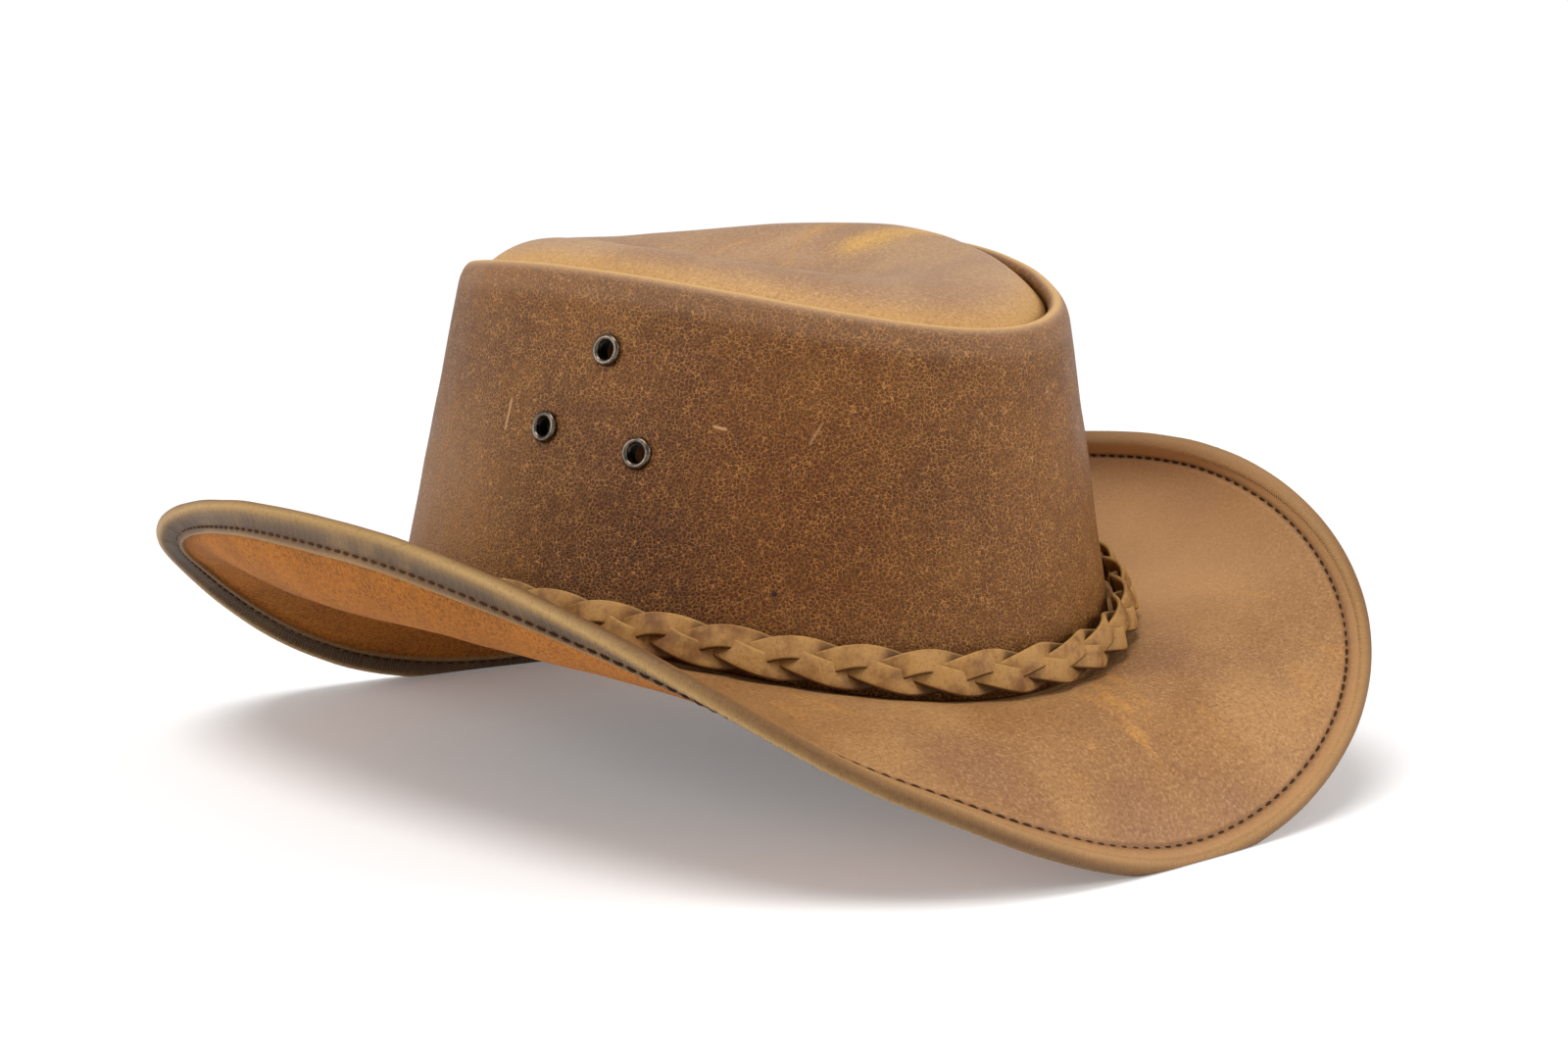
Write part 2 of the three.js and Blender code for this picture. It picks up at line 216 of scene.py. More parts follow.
for name, place, out in eyelet_places():
    bpy.ops.mesh.primitive_cylinder_add(vertices=40, radius=PUNCH_RADIUS, depth=PUNCH_LENGTH,
                                        location=place, rotation=out.to_track_quat("Z", "Y").to_euler())
    punch = bpy.context.object
    bpy.ops.object.select_all(action="DESELECT")
    crown.select_set(True)
    bpy.context.view_layer.objects.active = crown
    cut = crown.modifiers.new("punched_hole", "BOOLEAN")
    cut.operation, cut.solver, cut.object = "DIFFERENCE", "EXACT", punch
    bpy.ops.object.modifier_apply(modifier=cut.name)
    bpy.data.objects.remove(punch)
bpy.ops.object.mode_set(mode="EDIT")
bpy.ops.mesh.select_all(action="SELECT")
bpy.ops.mesh.remove_doubles(threshold=0.00001)
bpy.ops.mesh.select_all(action="DESELECT")
bpy.ops.mesh.select_face_by_sides(number=4, type="GREATER")
bpy.ops.mesh.quads_convert_to_tris(quad_method="BEAUTY", ngon_method="BEAUTY")
bpy.ops.mesh.select_all(action="SELECT")
bpy.ops.mesh.dissolve_degenerate(threshold=0.00003)
bpy.ops.object.mode_set(mode="OBJECT")


def paint(red, green, blue):
    """A colour from its everyday 0 to 255 values, as the shader wants it."""
    shares = (red / 255, green / 255, blue / 255)
    return tuple(v / 12.92 if v <= 0.04 else ((v + 0.055) / 1.055) ** 2.4 for v in shares) + (1.0,)


class Wire:
    """A node's output, with arithmetic that adds the Math nodes."""

    def __init__(self, finish, socket):
        self.finish, self.socket = finish, socket

    def _with(self, operation, first, second):
        return self.finish.node("ShaderNodeMath", {"operation": operation}, {0: first, 1: second})

    def __add__(self, other):
        return self._with("ADD", self, other)

    def __radd__(self, other):
        return self._with("ADD", other, self)

    def __sub__(self, other):
        return self._with("SUBTRACT", self, other)

    def __rsub__(self, other):
        return self._with("SUBTRACT", other, self)

    def __mul__(self, other):
        return self._with("MULTIPLY", self, other)

    def __rmul__(self, other):
        return self._with("MULTIPLY", other, self)


class Finish:
    """The finish of a piece: a material, and the patterns that it is made of."""

    def __init__(self, name):
        self.material = bpy.data.materials.new(name)
        self.material.use_nodes = True
        self.tree = self.material.node_tree
        self.shader = self.tree.nodes["Principled BSDF"]
        self.place = self.node("ShaderNodeTexCoord", {}, {}, "Object")

    def node(self, kind, settings, sockets, output=0):
        made = self.tree.nodes.new(kind)
        for key, value in settings.items():
            setattr(made, key, value)
        for key, value in sockets.items():
            self.feed(made.inputs[key], value)
        return Wire(self, made.outputs[output])

    def feed(self, socket, value):
        if isinstance(value, Wire):
            self.tree.links.new(value.socket, socket)
        else:
            socket.default_value = value

    def clouds(self, size, detail, roughness, moved=(0, 0, 0), stretch=(1, 1, 1), twist=0.0):
        """Smooth random values about 0.5, in patches of about the given size in metres."""
        where = self.place
        if moved != (0, 0, 0) or stretch != (1, 1, 1):
            where = self.node("ShaderNodeMapping", {}, {"Vector": where, "Location": moved, "Scale": stretch})
        return self.node("ShaderNodeTexNoise", {}, {"Vector": where, "Scale": 1 / size, "Detail": detail,
                                                    "Roughness": roughness, "Distortion": twist}, "Fac")

    def cells(self, size, where=None):
        """0 on the net between cells of about the given size, and more towards their middles."""
        return self.node("ShaderNodeTexVoronoi", {"feature": "DISTANCE_TO_EDGE"},
                         {"Vector": where or self.place, "Scale": 1 / size}, "Distance")

    def warped(self, size, reach):
        """Object coordinates pushed about at random by up to reach, so that a pattern isn't regular."""
        push = self.node("ShaderNodeTexNoise", {},
                         {"Vector": self.place, "Scale": 1 / size, "Detail": 2.0}, "Color")
        shift = self.node("ShaderNodeVectorMath", {"operation": "MULTIPLY_ADD"},
                          {0: push, 1: (reach,) * 3, 2: (-reach / 2,) * 3})
        return self.node("ShaderNodeVectorMath", {"operation": "ADD"}, {0: self.place, 1: shift})

    def layer(self, name):
        return self.node("ShaderNodeAttribute", {"attribute_name": name}, {}, "Fac")

    def between(self, value, low, high, bottom=0.0, top=1.0):
        """Runs smoothly from bottom to top while value goes from low to high."""
        return self.node("ShaderNodeMapRange", {"interpolation_type": "SMOOTHSTEP"},
                         {"Value": value, "From Min": low, "From Max": high, "To Min": bottom, "To Max": top})

    def away(self, spot):
        """The distance from a place on the hat, in metres."""
        return self.node("ShaderNodeVectorMath", {"operation": "DISTANCE"}, {0: self.place, 1: spot}, "Value")

    def mark(self, start, end, width, ragged=0.0):
        """1 on a short straight mark between two places on the hat, fading to 0 at its width."""
        middle, reach = (Vector(start) + Vector(end)) / 2, (Vector(end) - Vector(start)) / 2
        here = self.node("ShaderNodeVectorMath", {"operation": "SUBTRACT"}, {0: self.place, 1: middle})
        along = self.node("ShaderNodeVectorMath", {"operation": "DOT_PRODUCT"},
                          {0: here, 1: reach / reach.length_squared}, "Value")
        held = self.node("ShaderNodeClamp", {}, {"Value": along, "Min": -1.0, "Max": 1.0})
        nearest = self.node("ShaderNodeVectorMath", {"operation": "SCALE"}, {0: reach, "Scale": held})
        gap = self.node("ShaderNodeVectorMath", {"operation": "DISTANCE"}, {0: here, 1: nearest}, "Value")
        return self.between(gap + ragged, 0.0, width, 1.0, 0.0)

    def ramp(self, value, stops):
        """A colour that runs through stops of (place, colour), with places from 0 to 1."""
        made = self.node("ShaderNodeValToRGB", {}, {0: value})
        bands = made.socket.node.color_ramp.elements
        while len(bands) < len(stops):
            bands.new(1.0)
        for band, (place, colour) in zip(bands, stops):
            band.position, band.color = place, colour
        return made

    def blend(self, share, first, second, how="MIX"):
        return self.node("ShaderNodeMix", {"data_type": "RGBA", "blend_type": how},
                         {0: share, 6: first, 7: second}, 2)

    def relief(self, height, depth, under=None):
        sockets = {"Height": height, "Distance": depth, "Strength": 1.0}
        if under:
            sockets["Normal"] = under
        return self.node("ShaderNodeBump", {}, sockets, "Normal")

    def finish(self, **sockets):
        for name, value in sockets.items():
            self.feed(self.shader.inputs[name.replace("_", " ")], value)
        return self.material


CROWN_DARK = paint(86, 47, 12)
CROWN_BROWN = paint(108, 63, 19)
CROWN_GREY = paint(130, 88, 44)
CROWN_GOLD = paint(178, 124, 62)
CROWN_SHEEN_PATCH = paint(158, 112, 66)
CROWN_PORE = paint(56, 28, 7)
CROWN_NET = paint(184, 132, 72)
CROWN_SHADED_NET = paint(164, 108, 48)
CROWN_BRUISE = paint(214, 170, 118)
CROWN_PIT = paint(40, 14, 16)
CROWN_SHEEN = paint(180, 144, 114)
CROWN_WORN = paint(206, 164, 108)
CROWN_FLESH = paint(92, 56, 28)
# Tint and centre of a painted shade patch where the crown faces the camera.
PAINTED_SHADE_TINT = (0.68, 0.54, 0.26, 1)
PAINTED_SHADE_SPOT = (0.054, 0.066, 0.074)
# Centre of a painted sheen patch on the crown's left, standing in for a side light's reflection.
CROWN_SHEEN_PATCH_SPOT = (0.084, -0.03, 0.062)
PIT_SPOT = (0.0541, 0.0752, 0.0576)
SCRATCH = (0.0704, 0.0028, 0.0982), (0.0720, 0.0022, 0.0915)
CREASE = (0.0425, 0.0797, 0.0953), (0.0448, 0.0781, 0.0909)
NICK = (0.0572, 0.0598, 0.0946), (0.0559, 0.0622, 0.0941)
CRACKLE_SIZE = 0.0010


def crown_leather():
    leather = Finish("crown_leather")
    smoke = leather.clouds(0.06, 3, 0.55)
    patches = leather.clouds(0.018, 5, 0.62, twist=0.6)
    speckle = leather.clouds(0.0006, 3, 0.7)
    crackle = leather.cells(CRACKLE_SIZE, where=leather.warped(0.0016, 0.0012))
    colour = leather.blend(leather.between(smoke, 0.36, 0.66), CROWN_DARK, CROWN_BROWN)
    colour = leather.blend(leather.between(patches, 0.42, 0.78) * 0.5, colour, CROWN_GREY)
    # Painted highlight: a paler patch on the crown's left side, standing in for the side light's sheen.
    painted_light_patch = leather.between(leather.away(CROWN_SHEEN_PATCH_SPOT), 0.015, 0.055, 0.6, 0.0)
    colour = leather.blend(painted_light_patch, colour, CROWN_SHEEN_PATCH)
    # Painted shade: a darker, warmer patch where the crown faces the camera, with a darker crackle net inside
    # it.
    painted_shade = leather.between(leather.away(PAINTED_SHADE_SPOT) + smoke * 0.02, 0.028, 0.075, 1.0, 0.0)
    colour = leather.blend(painted_shade, colour, PAINTED_SHADE_TINT, "MULTIPLY")
    net = leather.blend(painted_shade * 0.6, CROWN_NET, CROWN_SHADED_NET)
    broken = leather.between(leather.clouds(0.004, 4, 0.6), 0.35, 0.6, 0.4, 1.0)
    colour = leather.blend(leather.between(crackle, 0.0, 0.085, 1.0, 0.0) * broken * 0.85, colour, net)
    colour = leather.blend(leather.between(speckle, 0.52, 0.4) * 0.45, colour, CROWN_PORE)
    colour = leather.blend(leather.between(speckle, 0.52, 0.7) * 0.3, colour, CROWN_GOLD)
    bruises = (leather.mark(*SCRATCH, 0.0007) * 0.5 + leather.mark(*CREASE, 0.0006) * 0.4
               + leather.mark(*NICK, 0.0006) * 0.6)
    colour = leather.blend(bruises, colour, CROWN_BRUISE)
    pit = leather.between(leather.away(PIT_SPOT), 0.0004, 0.0009, 1.0, 0.0)
    colour = leather.blend(pit * 0.9, colour, CROWN_PIT)
    wear_and_sheen = leather.layer("wear_and_sheen")
    # Painted highlight: a pale sheen band on the shoulder just below the rim.
    colour = leather.blend(leather.between(wear_and_sheen, 0.06, 0.45) * 0.5, colour, CROWN_SHEEN)
    # Real wear: the top of the rolled rim rubbed pale gold.
    colour = leather.blend(leather.between(wear_and_sheen, 0.3, 1.0), colour, CROWN_WORN)
    flesh = leather.layer("flesh")
    nap = leather.clouds(0.0006, 2, 0.6)
    colour = leather.blend(flesh, colour, leather.blend(nap, CROWN_FLESH, CROWN_DARK))
    gloss = leather.between(patches, 0.3, 0.7, 0.40, 0.5) + speckle * 0.12 + flesh * 0.35
    coarse = leather.relief(leather.between(crackle, 0.0, 0.3), 0.0001)
    grained = leather.relief(speckle, 0.00016, coarse)
    return leather.finish(Base_Color=colour, Roughness=gloss, Normal=grained, Specular_IOR_Level=0.22)


crown.data.materials.append(crown_leather())
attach(crown, "root")
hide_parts("crown_side")

# The tip is a smooth oval of waxed tan leather sewn inside the rolled rim. It is domed near its edge
# and dented in the middle, and its edge is turned down where it is sewn.
TIP_WALL = 0.0018
TIP_SKIRT = 0.006
TIP_INSET = 0.0016
TIP_DOME = 0.017
TIP_DENT = 0.019
TIP_SINK = 0.002
TIP_GAP = 0.0003
TIP_STEPS = 320
TIP_ROWS = 56


def tip_point(angle, share, above):
    edge = below_rim(angle, TIP_INSET, 2 * ROLL_RADIUS + TIP_GAP)
    middle = np.array([0, RIM_FORWARD, RIM_HEIGHT])
    rim = RIM_HEIGHT + RIM_SWING * np.cos(2 * angle) * share ** 2 - RIM_SLOPE * np.sin(angle) * share
    sunk = TIP_INSET + TIP_SINK * share ** 4 * (1 + np.sin(angle)) / 2
    dome = TIP_DOME * (1 - share ** 4) - TIP_DENT * (1 - share ** 2) ** 2
    point = middle + (edge - middle) * column(share)
    return level(point[..., 0], point[..., 1], rim - sunk + dome + above)


angles = around(TIP_STEPS)
tip_rows, tip_share, tip_flesh = [], [], []


def tip_row(share, drop, flesh, inward=0.0):
    tip_rows.append(tip_point(angles, np.full(TIP_STEPS, share), -drop) - outward(angles) * inward)
    tip_share.append(np.full(TIP_STEPS, share))
    tip_flesh.append(np.full(TIP_STEPS, float(flesh)))


shares = np.linspace(0.004, 1, TIP_ROWS)
for share in shares:
    tip_row(share, 0, False)
tip_row(1, 0.002, False)
tip_row(1, TIP_SKIRT, True)
tip_row(1, TIP_SKIRT, True, TIP_WALL)
tip_row(1, TIP_WALL, True, TIP_WALL)
for share in shares[::-3]:
    if share < 0.97:
        tip_row(share, TIP_WALL, True)
tip_points = np.stack(tip_rows, axis=1)
tip_share = np.stack(tip_share, axis=1)
seen_from_above = tip_points * (1, 1, 0)
slack = 0.0008 * rumple(seen_from_above, 0.04, 5.3) + 0.0003 * rumple(seen_from_above, 0.014, 9.1)
tip_points[..., 2] += slack * (1 - tip_share ** 6)
tip = formed_leather("tip", stand(tip_points), {"share": tip_share, "flesh": np.stack(tip_flesh, axis=1)},
                     closed=False)


def close_up(piece):
    """Fills a piece's open ends and turns its faces outward."""
    bpy.ops.object.select_all(action="DESELECT")
    piece.select_set(True)
    bpy.context.view_layer.objects.active = piece
    bpy.ops.object.mode_set(mode="EDIT")
    bpy.ops.mesh.select_all(action="DESELECT")
    bpy.ops.mesh.select_non_manifold(extend=False)
    bpy.ops.mesh.fill_holes(sides=0)
    bpy.ops.mesh.select_all(action="SELECT")
    bpy.ops.mesh.normals_make_consistent(inside=False)
    bpy.ops.object.mode_set(mode="OBJECT")


close_up(tip)

TIP_TAN = paint(180, 143, 106)
TIP_ROSE = paint(160, 122, 90)
TIP_GOLD = paint(200, 150, 78)
TIP_BROWN = paint(110, 70, 40)
TIP_LIGHT = paint(222, 186, 140)
TIP_STREAK = paint(212, 164, 84)
STREAK = (-0.0310, 0.0195, 0.1288), (-0.0480, 0.0290, 0.1318)


def tip_leather():
    leather = Finish("tip_leather")
    smoke = leather.clouds(0.05, 4, 0.55, twist=0.4)
    streaks = leather.clouds(0.03, 4, 0.6, stretch=(0.45, 1.6, 1.0), twist=1.2)
    grain = leather.cells(0.0011)
    fine = leather.clouds(0.0008, 4, 0.7)
    colour = leather.blend(leather.between(smoke, 0.36, 0.66), TIP_ROSE, TIP_TAN)
    colour = leather.blend(leather.between(streaks, 0.56, 0.74) * 0.8, colour, TIP_GOLD)
    streak = leather.mark(*STREAK, 0.011, (fine + streaks - 1.0) * 0.012)
    colour = leather.blend(streak * 0.85, colour, TIP_STREAK)
    edge = leather.between(leather.layer("share"), 0.84, 0.99)
    colour = leather.blend(edge * 0.75, colour, TIP_GOLD)
    colour = leather.blend(leather.between(fine, 0.5, 0.66) * 0.35, colour, TIP_BROWN)
    colour = leather.blend(leather.between(fine, 0.48, 0.34) * 0.3, colour, TIP_LIGHT)
    flesh = leather.layer("flesh")
    colour = leather.blend(flesh, colour, CROWN_FLESH)
    gloss = leather.between(smoke, 0.3, 0.7, 0.42, 0.52) + fine * 0.12 + flesh * 0.35
    soft = leather.relief(grain, 0.00008)
    return leather.finish(Base_Color=colour, Roughness=gloss, Normal=leather.relief(fine, 0.00012, soft),
                          Specular_IOR_Level=0.35)


tip.data.materials.append(tip_leather())
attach(tip, "root")
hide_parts("crown_tip")

# The brim is one wide ring of waxed tan leather, suede below. Its inner edge is turned up inside the
# crown and sewn, and its outer edge is rolled round a steel wire, turned under and stitched down, so
# the brim holds its curl: up at the sides, dipped at the front and back.
BRIM_WALL = 0.0022
HEM_WALL = 0.0015
SEAM_GAP = 0.0003
COLLAR_HEIGHT = 0.007
BRIM_WIDTH = 0.0735
BEAD_RADIUS = 0.0024
BEAD_TURN = 110
HEM_SHOWN = 0.0082
STITCH_LINE = 0.0063
GROOVE_DEPTH = 0.00045
GROOVE_WIDTH = 0.0007
FOLD_PITCH = 0.0026
FAR_IN = 0.02
BRIM_STEPS = 900
BRIM_BENDS = 24
# Every 30 degrees from the wearer's right: slopes at the crown, halfway and at the edge, and width.
BRIM_SECTIONS = np.array([
    (-3, 34, 116, 0.65),  # right
    (5, 16, 74, 0.72),
    (11, -10, -17, 0.85),
    (14, -31, -70, 0.9),  # front
    (10, -3, -20, 0.87),
    (2, 37, 106, 0.77),
    (-3, 36, 126, 0.66),  # left
    (2, 11, 90, 0.75),
    (8, -34, -22, 0.95),
    (12, -30, -60, 1),  # back
    (8, 11, 4, 0.97),
    (2, 29, 92, 0.78),
])


def section(which, angle):
    count = len(BRIM_SECTIONS)
    place = (angle / (2 * np.pi) * count) % count
    row = np.floor(place).astype(int)
    u = place - row
    before, start, end, after = (BRIM_SECTIONS[(row + step) % count, which] for step in (-1, 0, 1, 2))
    bend = 2 * before - 5 * start + 4 * end - after
    twist = 3 * (start - end) + after - before
    return start + 0.5 * u * (end - before + u * (bend + u * twist))


def brim_slope(angle, share):
    crown_part = section(0, angle) * (1 - share) * (1 - 2 * share)
    middle_part = section(1, angle) * 4 * share * (1 - share)
    edge_part = section(2, angle) * share * (2 * share - 1)
    return np.radians(crown_part + middle_part + edge_part)


def brim_width(angle):
    return BRIM_WIDTH * section(3, angle)


def brim_point(angle, distance, above):
    """A point at a distance out from the seam along the leather, and a height above its middle."""
    share = distance / brim_width(angle)
    point = seam_point(angle) - np.array([0, 0, SEAM_GAP + BRIM_WALL / 2])
    out, upward = outward(angle), np.array([0, 0, 1.0])
    length = column(distance / BRIM_BENDS)
    for step in range(BRIM_BENDS):
        slope = column(brim_slope(angle, share * (step + 0.5) / BRIM_BENDS))
        point = point + length * (out * np.cos(slope) + upward * np.sin(slope))
    slope = column(brim_slope(angle, share))
    return point + column(above) * (upward * np.cos(slope) - out * np.sin(slope))


angles = around(BRIM_STEPS)
width = brim_width(angles)
half = BRIM_WALL / 2
ones = np.ones(BRIM_STEPS)
brim_rows, from_edge, is_under, is_hem = [], [], [], []


def brim_row(points, edge, under, hem):
    brim_rows.append(points)
    from_edge.append(edge * ones)
    is_under.append(under * ones)
    is_hem.append(hem * ones)


edge_travel = brim_point(angles, width, 0 * ones)
edge_steps = np.linalg.norm(np.roll(edge_travel, -1, axis=0) - edge_travel, axis=-1)
edge_run = np.concatenate([[0], np.cumsum(edge_steps)[:-1]])
edge_length = edge_steps.sum()
heading = unit(np.roll(edge_travel, -1, axis=0) - edge_travel)
turning = np.linalg.norm(heading - np.roll(heading, 1, axis=0), axis=-1) / edge_steps
evened = np.convolve(np.tile(turning, 3), np.ones(25) / 25, "same")[BRIM_STEPS:2 * BRIM_STEPS]
tightness = np.clip(evened / 14, 0.2, 1)
folds_round = round(edge_length / FOLD_PITCH)
folding = np.abs(np.sin(np.pi * folds_round * edge_run / edge_length + 0.8 * rumple(edge_travel, 0.02, 1.7)))
folds = (0.00012 + 0.0003 * tightness) * (folding - 0.6)


def stitch_groove(inward):
    return GROOVE_DEPTH * math.exp(-((inward - STITCH_LINE) / GROOVE_WIDTH) ** 2)


collar = CROWN_WALL + SEAM_GAP
brim_row(up_crown(angles, COLLAR_HEIGHT * ones, (collar + BRIM_WALL) * ones), FAR_IN, 1, 0)
collar_foot = up_crown(angles, 0 * ones, (collar + BRIM_WALL) * ones)
brim_row(collar_foot - np.array([0, 0, SEAM_GAP + BRIM_WALL * 0.6]), FAR_IN, 1, 0)
free = width - HEM_SHOWN
for share in np.linspace(0, 1, 22):
    brim_row(brim_point(angles, free * share, -half * ones), FAR_IN, 1, 0)
for distance, drop in ((0.00005, HEM_WALL * 0.5), (0.0003, HEM_WALL * 0.7), (0.0008, HEM_WALL * 0.75)):
    brim_row(brim_point(angles, free + distance, (-half - drop) * ones), HEM_SHOWN - distance, 1, 1)
hem_face = half + HEM_WALL * 0.7
bead_drop = (HEM_WALL - SEAM_GAP) / 2
for inward in np.linspace(HEM_SHOWN - 0.0014, BEAD_RADIUS + 0.0003, 12):
    swell = (bead_drop + BEAD_RADIUS - hem_face) * math.exp(-((inward - BEAD_RADIUS) / 0.0011) ** 2)
    sunk = stitch_groove(inward) - swell + folds
    brim_row(brim_point(angles, width - inward, -hem_face + sunk), inward, 1, 1)
for degrees in np.linspace(-90, BEAD_TURN, 21):
    bend = math.radians(degrees)
    reach = width - BEAD_RADIUS + BEAD_RADIUS * math.cos(bend)
    height = BEAD_RADIUS * math.sin(bend) - bead_drop + folds * max(0.0, -math.sin(bend)) ** 2
    turned = min(1.0, max(0.0, (20 - degrees) / 60))
    brim_row(brim_point(angles, reach, height), BEAD_RADIUS * (1 - math.cos(bend)), turned, 1)
bead_end = BEAD_RADIUS * (1 - math.cos(math.radians(BEAD_TURN)))
bead_top = BEAD_RADIUS * math.sin(math.radians(BEAD_TURN)) - bead_drop
for inward in np.linspace(bead_end + 0.0005, 0.011, 15):
    settle = math.exp(-((inward - bead_end) / 0.0014) ** 1.5)
    height = half + (bead_top - half) * settle - stitch_groove(inward)
    brim_row(brim_point(angles, width - inward, height * ones), inward, 0, 0)
for share in np.linspace(1, 0, 27):
    brim_row(brim_point(angles, (width - 0.0118) * share, half * ones), FAR_IN, 0, 0)
brim_row(up_crown(angles, 0 * ones, collar * ones) - np.array([0, 0, SEAM_GAP]), FAR_IN, 0, 0)
brim_row(up_crown(angles, COLLAR_HEIGHT * ones, collar * ones), FAR_IN, 0, 0)
brim_points = np.stack(brim_rows, axis=1)
flattened = brim_points * (1, 1, 0.4)
sway = 0.0006 * rumple(flattened, 0.045, 2.2) + 0.00018 * rumple(flattened, 0.013, 6.4)
from_seam = np.clip(np.linalg.norm(brim_points - seam_point(angles)[:, None], axis=-1) / 0.02, 0, 1)
brim_points[..., 2] += sway * from_seam
brim = formed_leather("brim_leather_ring", stand(brim_points),
                      {"from_edge": np.stack(from_edge, axis=1), "under": np.stack(is_under, axis=1),
                       "hem": np.stack(is_hem, axis=1),
                       "tight": np.repeat(tightness[:, None], len(brim_rows), axis=1)},
                      chart=(edge_run, np.arange(len(brim_rows)) * 0.001))

BRIM_TAN = paint(166, 122, 76)
BRIM_BROWN = paint(146, 101, 58)
BRIM_PLUM = paint(138, 97, 66)
BRIM_GOLD = paint(196, 138, 62)
# Dark brown used both for real dark grain specks and for painted shade in the stitch groove.
BRIM_DARK_SPECK_AND_SHADE = paint(92, 56, 28)
BRIM_LIGHT = paint(206, 164, 112)
BRIM_PAINTED_LIGHT = paint(214, 164, 112)
# Centre of a patch of painted light on the brim's curled lobe, which lies in the crown's shade.
BRIM_PAINTED_LIGHT_SPOT = (-0.095, 0.055, 0.045)
SUEDE_ORANGE = paint(190, 118, 40)
SUEDE_BROWN = paint(100, 54, 14)
HEM_TAN = paint(158, 122, 74)
HEM_PLEAT_SHADE = paint(60, 40, 24)
PLEAT_PITCH = 0.0009
# From the very edge inward, in centimetres: the rolled edge as seen from above, and the turned hem, each with
# a painted highlight on the bead's crest and painted shade beside it and in the hollow towards the stitches.
EDGE_ABOVE_SHADING = ((0.0, paint(84, 56, 28)), (0.13, paint(128, 92, 52)), (0.27, paint(178, 134, 84)),
              (0.45, paint(164, 120, 76)), (0.6, paint(150, 106, 64)), (0.9, paint(168, 122, 78)))
EDGE_BELOW_SHADING = ((0.0, paint(132, 100, 58)), (0.12, paint(168, 134, 82)), (0.26, paint(122, 94, 58)),
              (0.4, paint(92, 73, 53)), (0.56, paint(78, 60, 42)), (0.8, paint(120, 92, 56)))


